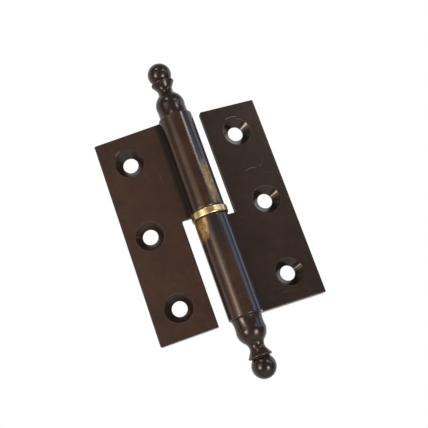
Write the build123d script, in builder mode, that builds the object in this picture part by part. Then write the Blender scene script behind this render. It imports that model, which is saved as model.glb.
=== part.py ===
from build123d import *
import os
from math import cos, radians, sin, sqrt

# A lift-off butt hinge with turned finials, in millimetres.
# The pin's axis is Z, up, and the origin lies on it at the leaves' mid-height.
# The lower leaf lies along +X. The upper leaf lies along -X and is swung back a little.
# Both leaves show their countersunk faces towards -Y.

os.makedirs("parts", exist_ok=True)

# Leaves: each is one sheet, rolled into a knuckle along half of its height
leaf_height = 80.0
leaf_reach = 32.4  # pin axis to a leaf's outer edge
sheet = 3.0
leaf_setback = 0.75  # pin axis to a leaf's countersunk face
corner_radius = 0.45  # corners of a leaf's outline
edge_round = 0.3  # broken edges of the sheet
rest_fold = 15.5  # degrees that the upper leaf is swung back from flat

# Knuckles and pin
pin_radius = 3.5
running_fit = 0.05  # radial room for the pin in the upper knuckle
press = 0.01  # radial interference of pressed pieces
knuckle_end_round = 0.6
slit_width = 3.9  # room between a knuckle and the other leaf's edge
slit_relief = 0.15  # a leaf's edge at the slit stays this far below its knuckle's end
seam_gap = 0.2  # between the rolled sheet's end and the leaf
seam_bevel = 0.45  # broken outer edge of the rolled sheet's end
root_bend = 2.2  # radius behind the knuckle, where the sheet leaves the leaf's plane
mouth_bevel = 0.4  # bevel at both mouths of a knuckle's bore
pin_bevel = 1.0
pin_head_room = 1.0  # between the pin's top and the upper finial
pin_foot_room = 0.5  # between the pin's foot and the lower finial

# Bearing ring between the knuckles
ring_thickness = 2.9
ring_proud = 0.5  # the ring stands out of the knuckles by this much
ring_bore_room = 0.1  # radial room for the pin in the ring
ring_edge_round = 0.55

# Screw holes, three to a leaf, the middle one nearer to the outer edge
screw_hole_radius = 2.9
screw_land = 0.5  # straight wall left below the countersink
countersink_angle = 90.0
screw_edge_distance = 10.7
middle_screw_edge_distance = 9.1
screw_end_distance = 11.2

# Finials, heights from the knuckle's end outwards
finial_step = 0.8  # a knuckle stands this much out of its finial's foot
waist_depth = 0.28
waist_height = 3.1
bulge_height = 4.9
bulge_depth = 0.22
shoulder_radius = 3.9
shoulder_height = 8.9
neck_radius = 2.9
neck_height = 10.5
flare_radius = 3.0
flare_height = 12.2
collar_radius = 4.4
collar_height = 14.2
collar_edge = 0.7
groove_radius = 3.3
ball_radius = 4.5
ball_height = 18.35
spigot_length = 5.0
spigot_bevel = 0.5

# Worked out from the sizes above
half_height = leaf_height / 2
knuckle_radius = pin_radius + sheet
knuckle_gap = ring_thickness / 2  # mid-height to a knuckle's inner end
knuckle_length = half_height - knuckle_gap
slit_edge = knuckle_radius + slit_width
slit_end = knuckle_gap + slit_relief
ring_radius = knuckle_radius + ring_proud
upper_bore_radius = pin_radius + running_fit
lower_bore_radius = pin_radius - press
pin_top = half_height - spigot_length - pin_head_room
pin_foot = spigot_length + pin_foot_room - half_height
countersink_radius = screw_hole_radius + (sheet - screw_land)
finial_radius = knuckle_radius - finial_step

# Where the upper leaf goes: turned over about Y, then swung back about the pin
upper_place = Plane(
    origin=(0, 0, 0),
    x_dir=(-cos(radians(rest_fold)), sin(radians(rest_fold)), 0),
    z_dir=(0, 0, -1),
).location

# Where the finials stand: each plane's y axis points outwards from its knuckle's end
upper_end = Plane(origin=(0, 0, half_height), x_dir=(1, 0, 0), z_dir=(0, -1, 0))
lower_end = Plane(origin=(0, 0, -half_height), x_dir=(1, 0, 0), z_dir=(0, 1, 0))


def rolled_leaf(bore_radius):
    """The lower leaf's form, along +X with its knuckle below: cut, countersunk and rolled round the pin."""
    face = Plane.XZ.offset(-leaf_setback)
    back = leaf_setback + sheet
    with BuildPart() as leaf:
        # The flat sheet, cut away beside the other knuckle
        with BuildSketch(face) as outline:
            with BuildLine():
                Polyline(
                    (0, -half_height),
                    (leaf_reach, -half_height),
                    (leaf_reach, half_height),
                    (slit_edge, half_height),
                    (slit_edge, -slit_end),
                    (0, -slit_end),
                    close=True,
                )
            make_face()
            fillet(outline.vertices().filter_by(lambda v: v.X > knuckle_radius), corner_radius)
        extrude(amount=-sheet)
        fillet(leaf.faces().filter_by(Axis.Y).edges(), edge_round)

        # The knuckle, with rounded ends
        with BuildSketch(Plane.XZ) as barrel:
            with Locations((knuckle_radius / 2, -knuckle_gap - knuckle_length / 2)):
                Rectangle(knuckle_radius, knuckle_length)
            fillet(barrel.vertices().group_by(Axis.X)[-1], knuckle_end_round)
        revolve(axis=Axis.Z)

        # The bend behind the knuckle, where the sheet starts to roll
        with BuildSketch(Plane.XY.offset(-half_height)) as bend:
            Circle(knuckle_radius)
            with Locations((slit_edge / 2, leaf_setback + sheet / 2)):
                Rectangle(slit_edge, sheet)
            meeting = (sqrt(knuckle_radius**2 - back**2), back)
            fillet(bend.vertices().sort_by_distance(meeting)[0], root_bend)
            bend_start = knuckle_radius / 2
            bend_end = knuckle_radius + root_bend
            with Locations((bend_start, leaf_setback + sheet / 2)):
                Rectangle(
                    bend_end - bend_start,
                    knuckle_radius,
                    align=(Align.MIN, Align.MIN),
                    mode=Mode.INTERSECT,
                )
        extrude(amount=knuckle_length)

        # The bore, bevelled at both mouths
        with BuildSketch(Plane.XZ):
            with BuildLine():
                Polyline(
                    (0, -half_height),
                    (bore_radius + mouth_bevel, -half_height),
                    (bore_radius, mouth_bevel - half_height),
                    (bore_radius, -mouth_bevel - knuckle_gap),
                    (bore_radius + mouth_bevel, -knuckle_gap),
                    (0, -knuckle_gap),
                    close=True,
                )
            make_face()
        revolve(axis=Axis.Z, mode=Mode.SUBTRACT)

        # The seam, where the rolled sheet's end faces the leaf
        curl_end = leaf_setback - seam_gap
        with BuildSketch(Plane.XY.offset(-half_height)):
            with BuildLine():
                Polyline(
                    (0, leaf_setback),
                    (slit_edge, leaf_setback),
                    (slit_edge, curl_end - seam_bevel),
                    (knuckle_radius, curl_end - seam_bevel),
                    (knuckle_radius - seam_bevel, curl_end),
                    (0, curl_end),
                    close=True,
                )
            make_face()
        extrude(amount=knuckle_length, mode=Mode.SUBTRACT)

        # Three countersunk screw holes
        outer_row = leaf_reach - screw_edge_distance
        middle_row = leaf_reach - middle_screw_edge_distance
        screw_height = half_height - screw_end_distance
        places = [(outer_row, screw_height), (middle_row, 0), (outer_row, -screw_height)]
        with Locations(*[face.location * Location((along, up, 0)) for along, up in places]):
            CounterSinkHole(screw_hole_radius, countersink_radius, counter_sink_angle=countersink_angle)
    return leaf.part


def turned_finial(plane, bore_radius):
    """One finial, turned about the plane's y axis, with a spigot that is pressed into its knuckle."""
    spigot_radius = bore_radius + press
    ball_start = ball_height - sqrt(ball_radius**2 - groove_radius**2)
    collar_bevel = collar_edge / 4
    with BuildPart() as finial:
        with BuildSketch(plane):
            with BuildLine():
                Polyline(
                    (0, -spigot_length),
                    (spigot_radius - spigot_bevel, -spigot_length),
                    (spigot_radius, spigot_bevel - spigot_length),
                    (spigot_radius, 0),
                    (finial_radius, 0),
                )
                ThreePointArc(
                    (finial_radius, 0),
                    (finial_radius - waist_depth, waist_height),
                    (finial_radius - bulge_depth, bulge_height),
                )
                TangentArc(
                    (finial_radius - bulge_depth, bulge_height),
                    (shoulder_radius, shoulder_height),
                    tangent=(0, 1),
                )
                ThreePointArc(
                    (shoulder_radius, shoulder_height),
                    (neck_radius, neck_height),
                    (flare_radius, flare_height),
                )
                Line((flare_radius, flare_height), (collar_radius - collar_bevel, collar_height))
                ThreePointArc(
                    (collar_radius - collar_bevel, collar_height),
                    (collar_radius, collar_height + collar_edge / 2),
                    (collar_radius - collar_bevel, collar_height + collar_edge),
                )
                Polyline(
                    (collar_radius - collar_bevel, collar_height + collar_edge),
                    (groove_radius, collar_height + collar_edge + collar_bevel),
                    (groove_radius, ball_start),
                )
                ThreePointArc(
                    (groove_radius, ball_start),
                    (ball_radius, ball_height),
                    (0, ball_height + ball_radius),
                )
                Line((0, ball_height + ball_radius), (0, -spigot_length))
            make_face()
        revolve(axis=Axis.Z)
    return finial.part


# Lower leaf: the fixed half, with the pin pressed into its knuckle
with BuildPart() as lower_leaf:
    add(rolled_leaf(lower_bore_radius))
lower_leaf.part.label = "lower_leaf"
export_step(lower_leaf.part, "parts/lower_leaf.step")

# Upper leaf: the same form turned over, with a bore that runs on the pin
with BuildPart() as upper_leaf:
    add(rolled_leaf(upper_bore_radius).moved(upper_place))
upper_leaf.part.label = "upper_leaf"
export_step(upper_leaf.part, "parts/upper_leaf.step")

# Pin: a plain rod, bevelled at its top to find the upper knuckle
with BuildPart() as hinge_pin:
    with BuildSketch(Plane.XY.offset(pin_foot)):
        Circle(pin_radius)
    extrude(amount=pin_top - pin_foot)
    chamfer(hinge_pin.edges().sort_by(Axis.Z)[-1], pin_bevel)
    chamfer(hinge_pin.edges().sort_by(Axis.Z)[0], spigot_bevel)
hinge_pin.part.label = "hinge_pin"
export_step(hinge_pin.part, "parts/hinge_pin.step")

# Bearing ring: loose on the pin, it carries the upper knuckle
with BuildPart() as bearing_ring:
    with BuildSketch(Plane.XY.offset(-knuckle_gap)):
        Circle(ring_radius)
        Circle(pin_radius + ring_bore_room, mode=Mode.SUBTRACT)
    extrude(amount=ring_thickness)
    fillet(bearing_ring.edges().filter_by(GeomType.CIRCLE).group_by(SortBy.RADIUS)[-1], ring_edge_round)
bearing_ring.part.label = "bearing_ring"
export_step(bearing_ring.part, "parts/bearing_ring.step")

# Upper finial, out of the upper knuckle's end
with BuildPart() as upper_finial:
    add(turned_finial(upper_end, upper_bore_radius))
upper_finial.part.label = "upper_finial"
export_step(upper_finial.part, "parts/upper_finial.step")

# Lower finial, the same piece the other way up
with BuildPart() as lower_finial:
    add(turned_finial(lower_end, lower_bore_radius))
lower_finial.part.label = "lower_finial"
export_step(lower_finial.part, "parts/lower_finial.step")
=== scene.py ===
"""Looks of a lift-off butt hinge with turned finials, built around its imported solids.

Sizes are in millimetres and angles in degrees, until they are handed to Blender. Relief is in metres, and
noise has so many lumps to the metre unless its coordinates are in millimetres. The pin's axis is Z.
"""

from __future__ import annotations
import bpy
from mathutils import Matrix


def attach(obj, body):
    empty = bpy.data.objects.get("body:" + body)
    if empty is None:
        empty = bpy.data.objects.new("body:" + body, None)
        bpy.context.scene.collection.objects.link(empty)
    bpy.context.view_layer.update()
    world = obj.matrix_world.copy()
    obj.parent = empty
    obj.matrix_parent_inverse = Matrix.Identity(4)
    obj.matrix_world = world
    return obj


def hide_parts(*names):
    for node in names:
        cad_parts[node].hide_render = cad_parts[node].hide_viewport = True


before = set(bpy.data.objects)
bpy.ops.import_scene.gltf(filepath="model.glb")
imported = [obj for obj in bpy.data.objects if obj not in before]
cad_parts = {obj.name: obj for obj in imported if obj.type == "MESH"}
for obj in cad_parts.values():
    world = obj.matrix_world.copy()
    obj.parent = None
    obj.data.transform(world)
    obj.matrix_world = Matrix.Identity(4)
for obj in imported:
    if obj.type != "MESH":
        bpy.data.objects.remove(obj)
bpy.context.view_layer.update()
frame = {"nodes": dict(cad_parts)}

import logging
import math
from dataclasses import dataclass, field
from enum import Enum

import bpy
from mathutils import Matrix, Vector

log = logging.getLogger("hinge")
MM = 0.001
Colour = tuple[float, float, float]
Triple = tuple[float, float, float]
Point = tuple[float, float]
Span = tuple[float, float]
Socket = bpy.types.NodeSocket
Value = float | Triple | Socket


class Slot(Enum):
    """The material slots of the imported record."""

    STEEL = "bronzed_steel"
    FINIAL = "bronzed_finials"
    PIN = "pin_steel"
    BRASS = "ring_brass"


class Body(Enum):
    """The two bodies that the finials move with."""

    LOWER = "lower_half"
    UPPER = "upper_half"


class Graph:
    """A node tree, built from short calls that each give a socket."""

    def __init__(self, owner: bpy.types.Material | bpy.types.World) -> None:
        """Empties the tree.

        Args:
            owner: the material or world whose tree is filled.
        """
        owner.use_nodes = True
        self.tree = owner.node_tree
        self.tree.nodes.clear()

    def node(self, kind: str, **settings: object) -> bpy.types.Node:
        """Adds a node.

        Args:
            kind: the node's class name after "ShaderNode".
            settings: attributes to set on it.

        Returns:
            The new node.
        """
        made = self.tree.nodes.new("ShaderNode" + kind)
        for name, value in settings.items():
            setattr(made, name, value)
        return made

    def put(self, value: Value, socket: Socket) -> None:
        """Sets a socket to a constant, or links another socket to it.

        Args:
            value: a number, a colour, a vector or an output socket.
            socket: the input.
        """
        if isinstance(value, Socket):
            self.tree.links.new(value, socket)
        elif isinstance(value, tuple) and socket.type == "RGBA":
            socket.default_value = (*value, 1.0)
        else:
            socket.default_value = value

    def math(self, operation: str, *values: Value, clamp: bool = False) -> Socket:
        """A Math node.

        Args:
            operation: its operation.
            values: its inputs, numbers or sockets.
            clamp: whether the result stays from 0 to 1.

        Returns:
            Its value.
        """
        made = self.node("Math", operation=operation, use_clamp=clamp)
        for value, socket in zip(values, made.inputs):
            self.put(value, socket)
        return made.outputs[0]

    def chain(self, operation: str, values: tuple[Value, ...]) -> Value:
        """One Math operation, from value to value.

        Args:
            operation: the operation.
            values: numbers or sockets.

        Returns:
            The last result.
        """
        result, *others = values
        for value in others:
            result = self.math(operation, result, value)
        return result

    def product(self, *values: Value) -> Value:
        """Several values multiplied."""
        return self.chain("MULTIPLY", values)

    def total(self, *values: Value) -> Value:
        """Several values added."""
        return self.chain("ADD", values)

    def most(self, *values: Value) -> Value:
        """The greatest of several values."""
        return self.chain("MAXIMUM", values)

    def least(self, *values: Value) -> Value:
        """The least of several values."""
        return self.chain("MINIMUM", values)

    def rest(self, value: Value) -> Socket:
        """What a value leaves of 1."""
        return self.math("SUBTRACT", 1.0, value)

    def blend(self, *parts: tuple[Value, float]) -> Value:
        """Several values added, each times its weight."""
        return self.total(*(self.product(value, weight) for value, weight in parts))

    def vector(self, operation: str, *values: Value) -> Socket:
        """A Vector Math node.

        Args:
            operation: its operation.
            values: its inputs.

        Returns:
            Its vector, or its value for a length, distance or dot product.
        """
        made = self.node("VectorMath", operation=operation)
        for value, socket in zip(values, made.inputs):
            self.put(value, socket)
        return made.outputs[1 if operation in ("LENGTH", "DISTANCE", "DOT_PRODUCT") else 0]

    def step(self, value: Value, low: float, high: float, start: float = 0.0, end: float = 1.0) -> Socket:
        """A smooth change of a value's range.

        Args:
            value: what is mapped.
            low: where the change starts.
            high: where it ends.
            start: the result at low.
            end: the result at high.

        Returns:
            The mapped value's socket.
        """
        made = self.node("MapRange", interpolation_type="SMOOTHSTEP")
        for given, socket in zip((value, low, high, start, end), made.inputs):
            self.put(given, socket)
        return made.outputs[0]

    def fade(self, value: Value, low: float, high: float) -> Socket:
        """A smooth fall from 1, at the lower limit, to 0 at the higher one."""
        return self.step(value, low, high, 1.0, 0.0)

    def window(self, value: Value, low: float, high: float, soft: float) -> Value:
        """A soft band: 1 between two limits and 0 away from them.

        Args:
            value: what is looked at.
            low: the lower limit.
            high: the upper limit.
            soft: half the width over which each side falls off.

        Returns:
            The band's socket.
        """
        rise = self.step(value, low - soft, low + soft)
        return self.product(rise, self.fade(value, high - soft, high + soft))

    def mix(self, factor: Value, first: Value, second: Value) -> Socket:
        """A mix of two colours.

        Args:
            factor: 0 for the first colour and 1 for the second.
            first: the first colour.
            second: the second colour.

        Returns:
            The mixed colour's socket.
        """
        made = self.node("Mix", data_type="RGBA")
        self.put(factor, made.inputs[0])
        self.put(first, made.inputs[6])
        self.put(second, made.inputs[7])
        return made.outputs[2]

    def noise(self, place: Value, scale: float, detail: float, rough: float = 0.5) -> Socket:
        """A noise from 0 to 1, mostly near a half.

        Args:
            place: the coordinates.
            scale: how many lumps fit in one unit of them.
            detail: how many finer layers are added.
            rough: how strong they are.

        Returns:
            The noise's socket.
        """
        made = self.node("TexNoise")
        self.put(place, made.inputs["Vector"])
        for name, value in (("Scale", scale), ("Detail", detail), ("Roughness", rough)):
            self.put(value, made.inputs[name])
        return made.outputs[0]

    def stretch(self, place: Value, scale: Triple, turn: Triple = (0.0, 0.0, 0.0)) -> Socket:
        """Coordinates that are scaled, and then turned.

        Args:
            place: the coordinates.
            scale: the factor along each axis.
            turn: the turn about each axis, in radians.

        Returns:
            The new coordinates' socket.
        """
        made = self.node("Mapping")
        for name, value in (("Rotation", turn), ("Scale", scale)):
            made.inputs[name].default_value = value
        self.put(place, made.inputs["Vector"])
        return made.outputs[0]

    def split(self, place: Value) -> list[Socket]:
        """The three parts of a vector.

        Args:
            place: the vector.

        Returns:
            Its x, y and z sockets.
        """
        made = self.node("SeparateXYZ")
        self.put(place, made.inputs[0])
        return list(made.outputs)

    def own(self) -> Socket:
        """The piece's own coordinates, in metres."""
        return self.node("TexCoord").outputs["Object"]

    def sized(self, place: Value) -> Socket:
        """Coordinates turned from metres into millimetres."""
        return self.stretch(place, (1 / MM, 1 / MM, 1 / MM))

    def reach(self, place: Value) -> Socket:
        """The distance from the pin's axis."""
        return self.vector("LENGTH", self.vector("MULTIPLY", place, (1.0, 1.0, 0.0)))

    def azimuth(self, place: Value) -> Socket:
        """The angle about the pin in degrees, from the front towards the lower leaf."""
        x, y, _ = self.split(place)
        return self.math("DEGREES", self.math("ARCTAN2", x, self.product(y, -1.0)))

    def finish(self, colour: Value, metallic: Value, roughness: Value, height: Value, tint: Colour) -> None:
        """Ends the tree in one glossy skin.

        Args:
            colour: the body's colour.
            metallic: how much of it is bare metal.
            roughness: the skin's roughness.
            height: the relief, in metres.
            tint: the colour of the skin's own gloss.
        """
        relief = self.node("Bump")
        relief.inputs["Distance"].default_value = 1.0
        self.put(height, relief.inputs["Height"])
        skin = self.node("BsdfPrincipled")
        skin.inputs["Specular Tint"].default_value = (*tint, 1.0)
        self.put(colour, skin.inputs["Base Color"])
        self.put(metallic, skin.inputs["Metallic"])
        self.put(roughness, skin.inputs["Roughness"])
        self.put(relief.outputs[0], skin.inputs["Normal"])
        out = self.node("OutputMaterial")
        self.put(skin.outputs[0], out.inputs["Surface"])


def look_matrix(back: Vector, up: Vector, place: Vector) -> Matrix:
    """The matrix of a camera or lamp.

    Args:
        back: the direction it looks away from.
        up: roughly its upward side.
        place: where it stands.

    Returns:
        The matrix, with the object looking along its own -Z.
    """
    z = back.normalized()
    x = up.cross(z).normalized()
    y = z.cross(x)
    turn = Matrix((x, y, z)).transposed()
    return Matrix.Translation(place) @ turn.to_4x4()


@dataclass
class SoftBox:
    """A rectangular lamp that faces the hinge, placed and sized by angles as seen from there."""

    name: str
    right: float  # degrees round from the photographer
    up: float
    wide: float
    tall: float
    level: float
    tint: Colour = (1.0, 1.0, 1.0)
    distance: float = 900.0

    def build(self, studio: Studio) -> None:
        """Adds the lamp.

        Args:
            studio: the directions that the angles are measured from.
        """
        distance = self.distance * MM
        side, height = math.radians(self.right), math.radians(self.up)
        level = studio.back * math.cos(side) + studio.right * math.sin(side)
        towards = level * math.cos(height) + studio.up * math.sin(height)
        lamp = bpy.data.lights.new(self.name, "AREA")
        lamp.shape = "RECTANGLE"
        lamp.size = 2 * distance * math.tan(math.radians(self.wide / 2))
        lamp.size_y = 2 * distance * math.tan(math.radians(self.tall / 2))
        lamp.energy = self.level * math.pi * lamp.size * lamp.size_y
        lamp.color = self.tint
        made = bpy.data.objects.new(self.name, lamp)
        made.matrix_world = look_matrix(towards, studio.up, towards * distance)
        made.visible_camera = False
        bpy.context.scene.collection.objects.link(made)


@dataclass
class Studio:
    """The camera, its lamps, the white surroundings and the floor."""

    # The camera: where it stands, where it looks and where its top points
    place: Triple = (-88.03, -296.90, -76.56)
    look: Triple = (0.2808, 0.9291, 0.2385)
    head: Triple = (0.2600, -0.3130, 0.9130)
    lens: float = 73.084
    sensor: float = 36.0
    clip: float = 10.0

    # The floor, and the shares of its radius between which it fades out
    floor_height: float = -560.0
    floor_radius: float = 1100.0
    floor_sides: int = 96
    floor_paint: Colour = (0.86, 0.86, 0.86)
    floor_fade: Span = (0.3, 0.95)

    # The room's brightness as it lights the hinge and as it is mirrored, where the backdrop has 1
    room: float = 0.40
    room_mirrored: float = 0.30
    backdrop_edge: float = 0.2
    lamps: list[SoftBox] = field(default_factory=list)

    def __post_init__(self) -> None:
        """Works out the directions that the lamps are placed by."""
        self.back = -Vector(self.look).normalized()
        self.right = Vector(self.head).cross(self.back).normalized()
        self.up = self.back.cross(self.right)

    def camera(self) -> None:
        """Adds the camera where the photographer stood."""
        data = bpy.data.cameras.new("camera")
        data.lens = self.lens
        data.sensor_width = self.sensor
        data.clip_start = self.clip * MM
        made = bpy.data.objects.new("camera", data)
        made.matrix_world = look_matrix(self.back, self.up, Vector(self.place) * MM)
        bpy.context.scene.collection.objects.link(made)
        bpy.context.scene.camera = made

    def surroundings(self) -> None:
        """Makes the world a white backdrop that is seen and mirrored, in a dimmer room."""
        world = bpy.data.worlds.new("surroundings")
        bpy.context.scene.world = world
        g = Graph(world)
        path = g.node("LightPath")
        sight = g.split(g.node("TexCoord").outputs["Generated"])[1]
        mirrored = g.step(sight, 0.0, self.backdrop_edge, self.room_mirrored, 1.0)
        shown = g.math("ADD", path.outputs["Is Camera Ray"], path.outputs["Is Transmission Ray"], clamp=True)
        gloss = path.outputs["Is Glossy Ray"]
        level = g.total(
            self.room,
            g.product(shown, 1.0 - self.room),
            g.product(gloss, g.math("SUBTRACT", mirrored, self.room)),
        )
        sky = g.node("Background")
        g.put((1.0, 1.0, 1.0), sky.inputs["Color"])
        g.put(level, sky.inputs["Strength"])
        out = g.node("OutputWorld")
        g.put(sky.outputs[0], out.inputs["Surface"])

    def floor(self) -> None:
        """Adds a pale floor below the hinge that fades out at its rim."""
        radius = self.floor_radius * MM
        fade_start, fade_end = (radius * share for share in self.floor_fade)
        deselect()
        bpy.ops.mesh.primitive_circle_add(
            vertices=self.floor_sides,
            radius=radius,
            fill_type="NGON",
            location=(0, 0, self.floor_height * MM),
        )
        disc = bpy.context.active_object
        disc.name = "floor"
        material = bpy.data.materials.new("pale_floor")
        g = Graph(material)
        rim = g.step(g.vector("LENGTH", g.own()), fade_start, fade_end)
        matt = g.node("BsdfDiffuse")
        g.put(self.floor_paint, matt.inputs["Color"])
        clear = g.node("BsdfTransparent")
        both = g.node("MixShader")
        g.put(rim, both.inputs[0])
        g.put(matt.outputs[0], both.inputs[1])
        g.put(clear.outputs[0], both.inputs[2])
        out = g.node("OutputMaterial")
        g.put(both.outputs[0], out.inputs["Surface"])
        disc.data.materials.append(material)

    def build(self) -> None:
        """Builds all of it."""
        self.camera()
        self.surroundings()
        self.floor()
        for lamp in self.lamps:
            lamp.build(self)
        log.info("studio with %d lamps", len(self.lamps))


def deselect() -> None:
    """Selects nothing, because operators act on all that is selected."""
    bpy.ops.object.select_all(action="DESELECT")


def settle(piece: bpy.types.Object) -> None:
    """Puts a piece's place into its mesh.

    Args:
        piece: the piece.
    """
    deselect()
    piece.select_set(True)
    bpy.context.view_layer.objects.active = piece
    bpy.ops.object.transform_apply(location=True, rotation=True, scale=True)


def arc(start: Point, through: Point, end: Point, steps: int) -> list[Point]:
    """Points on the circle through three points, after the first one.

    Args:
        start: where it starts.
        through: a point on the way.
        end: where it ends.
        steps: the number of points.

    Returns:
        The points, the last one being the end.
    """
    a, b, c = Vector(start), Vector(through), Vector(end)
    corners = (a, b, c)
    four_areas = 2 * (a.x * (b.y - c.y) + b.x * (c.y - a.y) + c.x * (a.y - b.y))
    squares = [corner.length_squared for corner in corners]
    centre = Vector((
        (squares[0] * (b.y - c.y) + squares[1] * (c.y - a.y) + squares[2] * (a.y - b.y)) / four_areas,
        (squares[0] * (c.x - b.x) + squares[1] * (a.x - c.x) + squares[2] * (b.x - a.x)) / four_areas,
    ))
    first, middle, last = (math.atan2(corner.y - centre.y, corner.x - centre.x) for corner in corners)
    sweep = (last - first) % math.tau
    if (middle - first) % math.tau > sweep:
        sweep -= math.tau
    radius = (a - centre).length
    turns = [first + sweep * step / steps for step in range(1, steps + 1)]
    return [(centre.x + radius * math.cos(turn), centre.y + radius * math.sin(turn)) for turn in turns]


def dress(piece: bpy.types.Object, material: bpy.types.Material) -> None:
    """Gives a piece its material.

    Args:
        piece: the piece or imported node.
        material: the material for all of it.
    """
    piece.data.materials.clear()
    piece.data.materials.append(material)
    log.info("%s is dressed in %s", piece.name, material.name)


def dimmed(colour: Colour, share: float) -> Colour:
    """A colour at a share of its brightness."""
    return tuple(share * part for part in colour)


@dataclass(frozen=True)
class Rub:
    """A place on a knuckle where the plating is rubbed through, by degrees about the pin and by height."""

    start: float
    end: float
    low: float
    high: float
    soft_angle: float = 8.0
    soft_height: float = 2.0
    strength: float = 1.0
    lean: float = 0.0  # degrees for each millimetre of height

    def mask(self, g: Graph, azimuth: Value, level: Value) -> Value:
        """Where the rub lies.

        Args:
            g: the material's tree.
            azimuth: the degrees about the pin.
            level: the place along the pin, in millimetres.

        Returns:
            A mask from 0 to the rub's strength.
        """
        if self.lean:
            azimuth = g.total(azimuth, g.product(level, -self.lean))
        around = g.window(azimuth, self.start, self.end, self.soft_angle)
        return g.product(around, g.window(level, self.low, self.high, self.soft_height), self.strength)


@dataclass(frozen=True)
class Scratch:
    """An arc that a slipping screwdriver left in a leaf's face."""

    along: float  # the circle's centre, outwards from the pin's axis
    up: float  # the same, above the leaf's mid-height
    radius: float
    towards: float  # degrees from the leaf's outward direction to the arc's middle
    spread: float  # degrees from the arc's middle to its ends
    wide: float = 0.09
    strength: float = 1.0

    def mask(self, g: Graph, face: Value) -> Value:
        """Where the scratch lies.

        Args:
            g: the material's tree.
            face: the place on the leaf's face in millimetres, flattened.

        Returns:
            A mask from 0 to the scratch's strength.
        """
        arm = g.vector("SUBTRACT", face, (self.along, 0.0, self.up))
        ring = g.window(g.vector("LENGTH", arm), self.radius - self.wide, self.radius + self.wide, self.wide)
        angle = math.radians(self.towards)
        middle = (math.cos(angle), 0.0, math.sin(angle))
        facing = g.vector("DOT_PRODUCT", g.vector("NORMALIZE", arm), middle)
        edge = math.cos(math.radians(self.spread))
        return g.product(ring, g.step(facing, edge, 0.5 + 0.5 * edge), self.strength)


@dataclass(frozen=True)
class LeafBronze:
    """Dark bronze plating on a leaf and its knuckle: satin on the sheet, glossy on the knuckle."""

    name: str
    upper: bool = False
    rubs: tuple[Rub, ...] = ()
    scratches: tuple[Scratch, ...] = ()

    # Colours of the plating, of what lies on it, of painted shade and highlights, and of what shows through it
    dark: Colour = (0.0190, 0.0090, 0.0053)
    light: Colour = (0.0310, 0.0153, 0.0092)
    brown: Colour = (0.036, 0.022, 0.0105)
    dull: Colour = (0.0060, 0.0050, 0.0042)
    # Painted shade on the knuckle's sides; also the colour of the darkening near the ring
    black: Colour = (0.0070, 0.0065, 0.0075)
    # Painted shade in the corner beside the knuckle
    crease_dark: Colour = (0.0012, 0.0009, 0.0008)
    speck: Colour = (0.075, 0.050, 0.034)
    pit: Colour = (0.006, 0.004, 0.003)
    scratched: Colour = (0.13, 0.105, 0.085)
    # A painted highlight on the countersinks' worn rims
    rim: Colour = (0.11, 0.085, 0.065)
    sawn: Colour = (0.004, 0.003, 0.003)
    brass: Colour = (0.45, 0.275, 0.11)
    tint: Colour = (1.0, 0.86, 0.76)

    # How strongly each colour covers the plating
    browned: float = 0.30
    dulled: float = 0.0
    sink_dulled: float = 0.65
    # Painted shade on the knuckle's sides, darkening near the ring, and painted shade in the corner beside the
    # knuckle
    knuckle_sides_shaded: float = 0.75
    near_ring_darkened: float = 0.0
    corner_shaded: float = 0.0
    specked: float = 0.7
    hairlines: float = 0.35
    marked: float = 0.75
    # Painted highlight and wear on the countersinks' rims
    rim_highlight_and_wear: float = 0.55
    saw_darkened: float = 0.85
    edge_worn: float = 0.28
    brass_stain: float = 0.42
    bared: float = 0.95

    # Between which places, heights or angles each of them comes in
    corner_band: Span = (5.6, 8.0)
    near_ring_band: Span = (4.0, 20.0)
    # Angles about the pin past which shade is painted on the knuckle's sides
    right_side: Span = (2.0, 24.0)
    left_side: Span = (-76.0, -62.0)
    wear_limits: Span = (1.42, 2.25)

    # Roughness of each skin, and what is added to it or taken off
    leaf_roughness: float = 0.30
    knuckle_roughness: float = 0.19
    worn_roughness: float = 0.44
    sink_smoother: float = 0.10
    corner_smoother: float = 0.13
    saw_rougher: float = 0.45

    # Relief in metres, the first two on the sheet and on the knuckle
    blot_relief: Span = (2.4e-6, 1.0e-6)
    grain_relief: Span = (1.2e-6, 0.6e-6)
    drawn_relief: float = 0.9e-6
    scratch_depth: float = 2e-6
    turning_relief: float = 1.6e-6
    tooling_relief: float = 3e-6

    # The leaf's sizes
    fold: float = 0.0
    knuckle_radius: float = 6.5
    reach: float = 32.4
    half_height: float = 40.0
    setback: float = 0.75
    sheet: float = 3.0
    slit_edge: float = 10.4
    slit_end: float = 1.6
    holes: tuple[Point, ...] = ((21.7, 28.8), (23.3, 0.0), (21.7, -28.8))
    sink_radius: float = 5.4
    turning_pitch: float = 0.27

    def build(self) -> bpy.types.Material:
        """Makes the material.

        Returns:
            The material.
        """
        material = bpy.data.materials.new(self.name)
        LeafSkin(material, self).fill()
        return material


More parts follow.
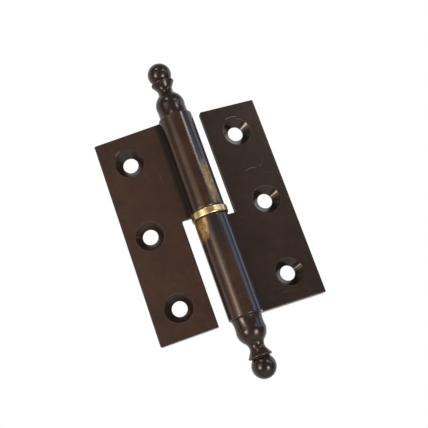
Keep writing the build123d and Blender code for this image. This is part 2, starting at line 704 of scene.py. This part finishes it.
class LeafSkin(Graph):
    """The node tree of a leaf's plating, with places in millimetres and angles in degrees."""

    def __init__(self, material: bpy.types.Material, look: LeafBronze) -> None:
        """Finds the places and the grain that the later steps share.

        Args:
            material: the material whose tree is filled.
            look: the plating's colours, strengths and sizes.
        """
        super().__init__(material)
        self.look = look
        outward = -1.0 if look.upper else 1.0
        self.metres = self.own()
        sized = self.sized(self.metres)

        # Places on the leaf as if it lay flat along +X, and places along and about the pin
        place = self.stretch(sized, (outward, 1.0, 1.0), turn=(0.0, 0.0, -math.radians(look.fold)))
        self.along, self.depth, _ = self.split(place)
        self.face = self.vector("MULTIPLY", place, (1.0, 0.0, 1.0))
        self.level = self.split(sized)[2]
        self.height = self.math("ABSOLUTE", self.level)
        self.ahead = self.product(self.level, outward)
        self.about = self.azimuth(sized)

        # The plating's grain, in three sizes
        self.cloud = self.noise(self.metres, 85.0, 5.0, 0.62)
        self.blot = self.noise(self.metres, 520.0, 4.0, 0.6)
        self.grain = self.noise(self.metres, 3000.0, 3.0, 0.6)

        # Masks of the knuckle, the sheet, its front, the countersinks and the corner beside the knuckle, where
        # shade is painted
        self.knuckle = self.fade(self.reach(sized), look.knuckle_radius + 0.1, look.knuckle_radius + 0.6)
        self.flat = self.rest(self.knuckle)
        self.front = self.fade(self.depth, look.setback + 0.2, look.setback + 0.4)
        self.near = self.nearest_hole()
        self.sink = self.countersinks()
        # Painted shade in the corner beside the knuckle, where the knuckle shades the leaf
        self.corner = self.product(self.window(self.along, *look.corner_band, 0.9), look.corner_shaded)

    def nearest_hole(self) -> Value:
        """The distance from the nearest screw hole's axis."""
        return self.least(*(self.vector("DISTANCE", self.face, (x, 0.0, z)) for x, z in self.look.holes))

    def countersinks(self) -> Value:
        """Where the countersinks are, and not the leaf's back.

        Returns:
            The mask.
        """
        edge, back = self.look.sink_radius, self.look.setback + self.look.sheet
        inside = self.fade(self.depth, back - 0.2, back - 0.05)
        return self.product(self.fade(self.near, edge - 0.15, edge + 0.05), inside)

    def rim_highlights_and_wear(self) -> Value:
        """Where the countersinks' rims are worn, with a painted highlight on them.

        Returns:
            The mask.
        """
        edge = self.look.sink_radius
        rim = self.window(self.near, edge - 0.05, edge + 0.08, 0.09)
        return self.product(rim, self.front, self.step(self.cloud, 0.40, 0.62), self.look.rim_highlight_and_wear)

    def scratches(self) -> Value:
        """Where the scratches are: fine straight ones all over, and arcs beside the screws.

        Returns:
            The mask.
        """
        lines = self.noise(self.stretch(self.metres, (0.045, 1.0, 1.3), turn=(0.0, 0.35, 0.0)), 1500.0, 1.0)
        cross = self.noise(self.stretch(self.metres, (1.2, 1.0, 0.04), turn=(0.0, -0.5, 0.0)), 1400.0, 1.0)
        hair = self.most(self.step(lines, 0.74, 0.80), self.step(cross, 0.75, 0.81))
        arcs = (self.product(scratch.mask(self, self.face), self.front) for scratch in self.look.scratches)
        return self.most(self.product(hair, self.look.hairlines), *arcs)

    def saw_cuts(self) -> Value:
        """Where the slit was sawn: the leaf's edge beside the other knuckle, and the shelf next to it.

        Returns:
            The mask.
        """
        edge, end = self.look.slit_edge, self.look.slit_end
        side = self.window(self.along, edge - 0.1, edge + 0.1, 0.04)
        side = self.product(side, self.step(self.ahead, -end - 0.1, -end))
        shelf = self.window(self.ahead, -end - 0.1, -end + 0.1, 0.04)
        inner = self.window(self.along, self.look.knuckle_radius + 0.3, edge + 0.1, 0.1)
        return self.most(side, self.product(shelf, inner))

    def bare_brass(self) -> Value:
        """Where brass shows: rubbed by hand and ring on the knuckle, and along the sheet's edges.

        Returns:
            The mask.
        """
        look = self.look
        rubbed = self.most(0.0, *(rub.mask(self, self.about, self.level) for rub in look.rubs))
        streak = self.noise(self.stretch(self.metres, (1.0, 1.0, 0.06)), 1300.0, 3.0, 0.6)
        ragged = self.blend((self.blot, 0.5), (self.cloud, 0.3), (self.grain, 0.4), (streak, 1.1))
        ragged = self.total(ragged, self.product(rubbed, self.knuckle))
        worn = self.step(ragged, *look.wear_limits, 0.0, look.bared)
        outer = self.step(self.along, look.reach - 0.22, look.reach - 0.02)
        ends = self.step(self.height, look.half_height - 0.20, look.half_height - 0.02)
        patchy = self.product(self.step(self.cloud, 0.40, 0.60), self.step(self.blot, 0.42, 0.62))
        return self.most(worn, self.product(self.most(outer, ends), patchy, self.flat, look.edge_worn))

    def plating(self) -> Value:
        """The plating's colour: mottled, browner on the knuckle, duller in the countersinks, and specked.

        Returns:
            The colour.
        """
        look = self.look
        tone = self.blend((self.cloud, 0.9), (self.blot, 0.5), (self.grain, 0.35))
        colour = self.mix(self.step(tone, 0.66, 1.08), look.dark, look.light)
        browned = self.product(self.knuckle, self.step(self.cloud, 0.35, 0.65), look.browned)
        colour = self.mix(browned, colour, look.brown)
        colour = self.mix(self.product(self.flat, look.dulled), colour, look.dull)
        colour = self.mix(self.product(self.sink, look.sink_dulled), colour, look.dull)
        specks = self.step(self.noise(self.metres, 1150.0, 1.0), 0.76, 0.82)
        colour = self.mix(self.product(specks, look.specked), colour, look.speck)
        pits = self.fade(self.noise(self.metres, 900.0, 1.0, 0.2), 0.22, 0.28)
        return self.mix(self.product(pits, look.specked), colour, look.pit)

    def shaded_and_darkened(self, colour: Value) -> Value:
        """Paints shade on the knuckle's sides and in the corner beside it, and darkens the knuckle near the
        ring.

        Args:
            colour: the colour so far.

        Returns:
            The blackened colour.
        """
        look = self.look
        # Painted shade on both sides of the knuckle, away from its front
        shaded_sides = self.most(self.step(self.about, *look.right_side), self.fade(self.about, *look.left_side))
        colour = self.mix(self.product(shaded_sides, self.knuckle, look.knuckle_sides_shaded), colour, look.black)
        # Darker on the knuckle near the ring, fading out along it
        near_ring = self.product(self.fade(self.height, *look.near_ring_band), self.knuckle, look.near_ring_darkened)
        colour = self.mix(near_ring, colour, look.black)
        # Painted shade in the corner beside the knuckle
        return self.mix(self.corner, colour, look.crease_dark)

    def roughness(self, sawn: Value, bare: Value) -> Value:
        """The skin's roughness: satin on the sheet and glossy on the knuckle.

        Args:
            sawn: where the slit was sawn.
            bare: where brass shows.

        Returns:
            The roughness.
        """
        look = self.look
        satin = self.total(look.leaf_roughness - 0.07, self.blend((self.blot, 0.08), (self.grain, 0.06)))
        gloss = self.total(look.knuckle_roughness - 0.04, self.blend((self.blot, 0.06), (self.grain, 0.03)))
        skin = self.total(self.product(satin, self.flat), self.product(gloss, self.knuckle))
        smoother = self.blend((self.sink, look.sink_smoother), (self.corner, look.corner_smoother))
        skin = self.total(self.math("SUBTRACT", skin, smoother), self.product(sawn, look.saw_rougher))
        return self.total(self.product(skin, self.rest(bare)), self.product(bare, look.worn_roughness))

    def relief(self, marks: Value) -> Value:
        """The relief: grain, drawn lines on the knuckle, scratches, and turning marks in the countersinks.

        Args:
            marks: where the scratches are.

        Returns:
            The relief's height, in metres.
        """
        look = self.look
        drawn = self.noise(self.stretch(self.metres, (1.0, 1.0, 0.035)), 2400.0, 2.0)
        turned = self.math("SINE", self.product(self.near, math.tau / look.turning_pitch))
        tooling = self.noise(self.stretch(self.near, (1.0, 0.0, 0.0)), 2.6, 2.0)
        return self.total(
            self.product(self.blot, self.step(self.knuckle, 0.0, 1.0, *look.blot_relief)),
            self.product(self.grain, self.step(self.knuckle, 0.0, 1.0, *look.grain_relief)),
            self.product(drawn, self.knuckle, look.drawn_relief),
            self.product(marks, -look.scratch_depth),
            self.product(turned, self.sink, look.turning_relief),
            self.product(tooling, self.sink, look.tooling_relief),
        )

    def fill(self) -> None:
        """Fills the tree, from the plating up to the bare brass."""
        look = self.look
        marks, sawn, bare = self.scratches(), self.saw_cuts(), self.bare_brass()
        colour = self.mix(self.product(marks, look.marked), self.plating(), look.scratched)
        # Painted highlight on the countersinks' worn rims
        colour = self.mix(self.rim_highlights_and_wear(), colour, look.rim)
        colour = self.mix(self.product(sawn, look.saw_darkened), colour, look.sawn)
        colour = self.shaded_and_darkened(colour)
        brass = self.mix(self.step(self.blot, 0.35, 0.65), look.brass, dimmed(look.brass, look.brass_stain))
        colour = self.mix(bare, colour, brass)
        self.finish(colour, bare, self.roughness(sawn, bare), self.relief(marks), look.tint)


@dataclass(frozen=True)
class TurnedBronze:
    """The same plating on turned finials: polished, and darker in the groove and where they meet the knuckle.
    """

    name: str
    dark: Colour = (0.0070, 0.0032, 0.0023)
    light: Colour = (0.0180, 0.0082, 0.0050)
    crease_dark: Colour = (0.006, 0.004, 0.003)
    brass: Colour = (0.30, 0.23, 0.15)
    tint: Colour = (0.88, 0.78, 0.71)
    crease_darkened: float = 0.8
    crease_rougher: float = 0.35
    rim_worn: float = 0.12
    specked: float = 0.3
    roughness: float = 0.22
    root: float = 40.0
    groove: float = 55.2
    rim: float = 54.55
    rim_radius: float = 4.4
    tip: float = 62.85

    def build(self) -> bpy.types.Material:
        """Makes the material.

        Returns:
            The material.
        """
        material = bpy.data.materials.new(self.name)
        g = Graph(material)
        own = g.own()
        sized = g.sized(own)
        height = g.math("ABSOLUTE", g.split(sized)[2])
        cloud = g.noise(own, 160.0, 4.0, 0.6)
        grain = g.noise(own, 1400.0, 4.0, 0.6)
        turning = g.noise(g.stretch(own, (0.05, 0.05, 1.0)), 3600.0, 2.0)
        broad = g.noise(g.stretch(own, (0.15, 0.15, 1.0)), 900.0, 1.0)
        tone = g.blend((cloud, 0.7), (grain, 0.3), (turning, 0.3))
        colour = g.mix(g.step(tone, 0.5, 0.85), self.dark, self.light)

        # Darker in the groove below the ball and where the knuckle ends
        groove = g.window(height, self.groove - 0.25, self.groove + 0.2, 0.15)
        crease_dark = g.most(groove, g.window(height, self.root - 0.3, self.root + 0.25, 0.15))
        colour = g.mix(g.product(crease_dark, self.crease_darkened), colour, self.crease_dark)

        # Bare brass on what stands out: the collar's rim, the ball's tip and specks
        rim = g.window(height, self.rim - 0.22, self.rim + 0.22, 0.1)
        rim = g.product(rim, g.step(g.reach(sized), self.rim_radius - 0.15, self.rim_radius))
        tip = g.step(height, self.tip - 0.25, self.tip)
        bare = g.product(g.most(rim, tip), g.step(g.total(grain, cloud), 0.9, 1.25), self.rim_worn)
        bare = g.most(bare, g.product(g.step(g.noise(own, 1300.0, 1.0), 0.77, 0.82), self.specked))
        colour = g.mix(bare, colour, self.brass)

        uneven = g.blend((cloud, 0.05), (grain, 0.05), (crease_dark, self.crease_rougher))
        skin = g.total(self.roughness - 0.05, uneven)
        relief = g.blend((turning, 0.8e-6), (broad, 1.5e-6), (grain, 0.5e-6), (cloud, 3e-6))
        g.finish(colour, bare, skin, relief, self.tint)
        return material


@dataclass(frozen=True)
class TurnedBrass:
    """Bare turned brass, a little tarnished, with painted shade on one side and darker towards its edges."""

    name: str
    bright: Colour = (0.82, 0.65, 0.37)
    tarnish_and_shade: Colour = (0.52, 0.36, 0.16)
    # Darker towards the ring's upper and lower edges
    crease_dark: Colour = (0.10, 0.055, 0.02)
    tint: Colour = (1.0, 0.97, 0.88)
    # Painted shade on one side of the ring
    side_shaded: float = 0.6
    crease_darkened: float = 0.7
    crease_rougher: float = 0.15
    roughness: float = 0.25
    shaded_side: Span = (8.0, 28.0)  # degrees about the pin
    dark_edge: Span = (1.15, 1.42)

    def build(self) -> bpy.types.Material:
        """Makes the material.

        Returns:
            The material.
        """
        material = bpy.data.materials.new(self.name)
        g = Graph(material)
        own = g.own()
        sized = g.sized(own)
        cloud = g.noise(own, 260.0, 4.0, 0.6)
        grain = g.noise(own, 1800.0, 3.0, 0.6)
        turning = g.noise(g.stretch(own, (0.06, 0.06, 1.0)), 4200.0, 3.0)
        colour = g.mix(g.step(g.blend((cloud, 1.0), (grain, 0.4)), 0.52, 0.92), self.tarnish_and_shade, self.bright)
        # Painted shade on the ring's side past the given angle about the pin
        side = g.step(g.azimuth(sized), *self.shaded_side)
        colour = g.mix(g.product(side, self.side_shaded), colour, self.tarnish_and_shade)
        # Darker towards the ring's upper and lower edges
        crease_dark = g.step(g.math("ABSOLUTE", g.split(sized)[2]), *self.dark_edge)
        colour = g.mix(g.product(crease_dark, self.crease_darkened), colour, self.crease_dark)
        uneven = g.blend((grain, 0.08), (cloud, 0.08), (crease_dark, self.crease_rougher))
        skin = g.total(self.roughness - 0.07, uneven)
        relief = g.blend((turning, 2.2e-6), (grain, 1.6e-6), (cloud, 9e-6))
        g.finish(colour, 1.0, skin, relief, self.tint)
        return material


@dataclass(frozen=True)
class DrawnSteel:
    """Drawn steel rod with streaks of old grease."""

    name: str
    steel: Colour = (0.50, 0.49, 0.47)
    grease: Colour = (0.16, 0.11, 0.06)
    tint: Colour = (1.0, 1.0, 1.0)
    streak: float = 0.72
    greasy: float = 0.75
    roughness: float = 0.26

    def build(self) -> bpy.types.Material:
        """Makes the material.

        Returns:
            The material.
        """
        material = bpy.data.materials.new(self.name)
        g = Graph(material)
        own = g.own()
        drawn = g.noise(g.stretch(own, (1.0, 1.0, 0.02)), 5200.0, 3.0)
        smear = g.noise(g.stretch(own, (1.0, 1.0, 0.3)), 330.0, 4.0, 0.6)
        greased = g.step(smear, 0.48, 0.66)
        colour = g.mix(g.step(drawn, 0.35, 0.65), self.steel, dimmed(self.steel, self.streak))
        colour = g.mix(g.product(greased, self.greasy), colour, self.grease)
        skin = g.total(self.roughness - 0.05, g.blend((drawn, 0.14), (greased, 0.10)))
        g.finish(colour, 1.0, skin, g.blend((drawn, 1.6e-6), (greased, 3e-6)), self.tint)
        return material


LAMPS = [
    SoftBox("left_box", right=-37, up=-5, wide=12, tall=30, level=5.8, tint=(1.0, 0.86, 0.76)),
    SoftBox("left_core", right=-37, up=-12, wide=16, tall=16, level=11.0, tint=(1.0, 0.93, 0.88)),
    SoftBox("left_glow", right=-38, up=1, wide=36, tall=50, level=1.3, tint=(1.0, 0.86, 0.76)),
    SoftBox("front_glow", right=-6, up=29, wide=30, tall=16, level=0.12, tint=(1.0, 0.72, 0.50)),
    SoftBox("right_box", right=38, up=-10, wide=18, tall=25, level=15.0),
    SoftBox("left_top_box", right=-44, up=53, wide=17, tall=13, level=6.5),
    SoftBox("right_strip", right=49, up=48.5, wide=9, tall=14, level=12.0, tint=(0.88, 0.95, 1.0)),
    SoftBox("near_window", right=74, up=30.5, wide=21, tall=25, level=2.5, tint=(0.43, 0.60, 1.0)),
    SoftBox("far_window", right=111, up=26, wide=14, tall=32, level=2.2, tint=(0.46, 0.62, 1.0)),
]


@dataclass
class Finials:
    """The two turned finials: one is spun from its profile, and the other is a copy turned over."""

    # Radius and height of the profile's points, above the knuckle's end
    foot: float = 5.7
    foot_bevel: float = 0.12
    waist: Point = (5.38, 3.0)
    bulge: Point = (5.55, 4.9)
    shoulder: Point = (3.9, 8.9)
    neck: Point = (2.9, 10.5)
    flare: Point = (3.0, 12.2)
    collar: float = 4.4
    collar_height: float = 14.2
    collar_edge: float = 0.7
    groove: float = 3.3
    groove_chamfer: Point = (0.1, 0.08)
    ball: float = 4.5
    ball_height: float = 18.35
    spigot: float = 3.5
    spigot_length: float = 5.0
    spigot_bevel: float = 0.5
    half_height: float = 40.0

    # How finely the rounds are divided
    around: int = 128
    waist_steps: int = 12
    neck_steps: int = 16
    edge_steps: int = 6
    ball_steps: int = 32
    crease: float = 35.0

    def bulge_middle(self) -> Point:
        """The middle of the arc that leaves the bulge straight up and ends on the shoulder.

        Returns:
            Its radius and height.
        """
        rise = self.shoulder[1] - self.bulge[1]
        inward = self.bulge[0] - self.shoulder[0]
        sweep = (rise * rise + inward * inward) / (2 * inward)
        half = 0.5 * math.asin(rise / sweep)
        return (self.bulge[0] - sweep * (1 - math.cos(half)), self.bulge[1] + sweep * math.sin(half))

    def profile(self) -> list[Point]:
        """The outline from the spigot's end to the ball's tip.

        Returns:
            Radius and height of each point, in millimetres above the knuckle's end.
        """
        bevel = self.collar_edge / 4
        lip = self.collar_height + self.collar_edge
        collar_foot = (self.collar - bevel, self.collar_height)
        collar_middle = (self.collar, self.collar_height + self.collar_edge / 2)
        ball_foot = (self.groove, self.ball_height - math.sqrt(self.ball**2 - self.groove**2))
        foot = (self.foot, self.foot_bevel)
        points = [
            (0.0, -self.spigot_length),
            (self.spigot - self.spigot_bevel, -self.spigot_length),
            (self.spigot, self.spigot_bevel - self.spigot_length),
            (self.spigot, 0.0),
            (self.foot - self.foot_bevel, 0.0),
            foot,
        ]
        points += arc(foot, self.waist, self.bulge, self.waist_steps)
        points += arc(self.bulge, self.bulge_middle(), self.shoulder, self.neck_steps)
        points += arc(self.shoulder, self.neck, self.flare, self.neck_steps)
        points.append(collar_foot)
        points += arc(collar_foot, collar_middle, (self.collar - bevel, lip), self.edge_steps)
        points.append((self.groove + self.groove_chamfer[0], lip + bevel))
        points.append((self.groove, lip + bevel + self.groove_chamfer[1]))
        points.append(ball_foot)
        tip = (0.0, self.ball_height + self.ball)
        points += arc(ball_foot, (self.ball, self.ball_height), tip, self.ball_steps)
        return points

    def spin(self) -> bpy.types.Object:
        """Turns the upper finial: draws its profile from point to point, and spins it about the pin's axis.

        Returns:
            The upper finial.
        """
        points = [Vector((radius, 0.0, self.half_height + up)) * MM for radius, up in self.profile()]
        points[-1].x = 0.0
        deselect()
        bpy.ops.mesh.primitive_plane_add(size=MM, location=points[0])
        upper = bpy.context.active_object
        bpy.ops.object.mode_set(mode="EDIT")
        bpy.ops.mesh.merge(type="CENTER")
        for before, after in zip(points, points[1:]):
            bpy.ops.mesh.extrude_region_move(TRANSFORM_OT_translate={"value": after - before})
        bpy.ops.mesh.select_all(action="SELECT")
        bpy.ops.mesh.spin(steps=self.around, angle=math.tau, center=(0, 0, 0), axis=(0, 0, 1), dupli=False)
        bpy.ops.mesh.select_all(action="SELECT")
        bpy.ops.mesh.remove_doubles(threshold=1e-6)
        bpy.ops.mesh.normals_make_consistent(inside=False)
        bpy.ops.object.mode_set(mode="OBJECT")
        settle(upper)
        bpy.ops.object.shade_smooth_by_angle(angle=math.radians(self.crease))
        return upper

    def turn_over(self, upper: bpy.types.Object) -> bpy.types.Object:
        """Copies the upper finial and turns the copy over, onto the lower knuckle's end.

        Args:
            upper: the upper finial.

        Returns:
            The lower finial.
        """
        lower = upper.copy()
        lower.data = upper.data.copy()
        bpy.context.scene.collection.objects.link(lower)
        deselect()
        lower.select_set(True)
        bpy.context.view_layer.objects.active = lower
        bpy.ops.object.mode_set(mode="EDIT")
        bpy.ops.mesh.select_all(action="SELECT")
        bpy.ops.transform.rotate(value=math.pi, orient_axis="X", center_override=(0, 0, 0))
        bpy.ops.object.mode_set(mode="OBJECT")
        return lower

    def build(self, finish: TurnedBronze) -> None:
        """Models both and dresses them.

        Args:
            finish: the finish of both.
        """
        material = finish.build()
        upper = self.spin()
        lower = self.turn_over(upper)
        for piece, name, body in ((upper, "upper_finial", Body.UPPER), (lower, "lower_finial", Body.LOWER)):
            piece.name = "turned_" + name
            dress(piece, material)
            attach(piece, body.value)
            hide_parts(name)
            log.info("%s has %d faces", piece.name, len(piece.data.polygons))


@dataclass
class Leaves:
    """The two rolled leaves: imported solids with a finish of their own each, because they wore differently."""

    fold: float = 15.5

    def lower(self) -> LeafBronze:
        """The finish of the lower leaf, the right one from the front.

        Returns:
            The finish.
        """
        return LeafBronze(
            "bronzed_lower_leaf",
            dulled=0.50,
            near_ring_darkened=0.75,
            leaf_roughness=0.19,
            rubs=(
                Rub(-95, -25, -10.0, 0.0, soft_angle=9, soft_height=3.5, strength=1.05, lean=1.7),
                Rub(-90, -26, -19.0, 0.0, soft_angle=9, soft_height=6.0, strength=0.35, lean=1.5),
                Rub(-180, 180, -2.0, 0.0, soft_height=0.4, strength=0.45),
            ),
            scratches=(
                Scratch(21.6, 28.4, 6.7, towards=92, spread=24, wide=0.12),
                Scratch(21.9, 8.2, 5.1, towards=95, spread=30, wide=0.12, strength=0.65),
                Scratch(24.8, 16.2, 2.9, towards=-60, spread=60, strength=0.3),
            ),
        )

    def upper(self) -> LeafBronze:
        """The finish of the upper leaf, the left one from the front.

        Returns:
            The finish.
        """
        return LeafBronze(
            "bronzed_upper_leaf",
            upper=True,
            fold=self.fold,
            corner_shaded=0.95,
            dark=(0.0170, 0.0069, 0.0035),
            light=(0.0275, 0.0116, 0.0056),
            rubs=(
                Rub(10, 42, 1.5, 19.5, soft_angle=9, soft_height=5.0, strength=0.86),
                Rub(40, 72, 38.8, 40.5, soft_angle=10, soft_height=0.4, strength=0.6),
                Rub(-180, 180, 1.0, 2.2, soft_height=0.4, strength=0.45),
            ),
            scratches=(Scratch(21.7, 28.8, 6.35, towards=60, spread=12, wide=0.15, strength=1.2),),
        )

    def build(self, nodes: dict[str, bpy.types.Object]) -> None:
        """Dresses both leaves.

        Args:
            nodes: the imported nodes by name.
        """
        dress(nodes["lower_leaf"], self.lower().build())
        dress(nodes["upper_leaf"], self.upper().build())


def main() -> None:
    """Builds the studio and the hinge's looks."""
    logging.basicConfig(level=logging.INFO, format="%(message)s")
    bpy.context.scene.view_settings.view_transform = "Standard"
    Studio(lamps=LAMPS).build()
    nodes = frame["nodes"]
    Leaves().build(nodes)
    Finials().build(TurnedBronze("bronzed_finial"))
    dress(nodes["hinge_pin"], DrawnSteel("drawn_pin").build())
    dress(nodes["bearing_ring"], TurnedBrass("turned_brass").build())


if __name__ == "__main__":
    main()
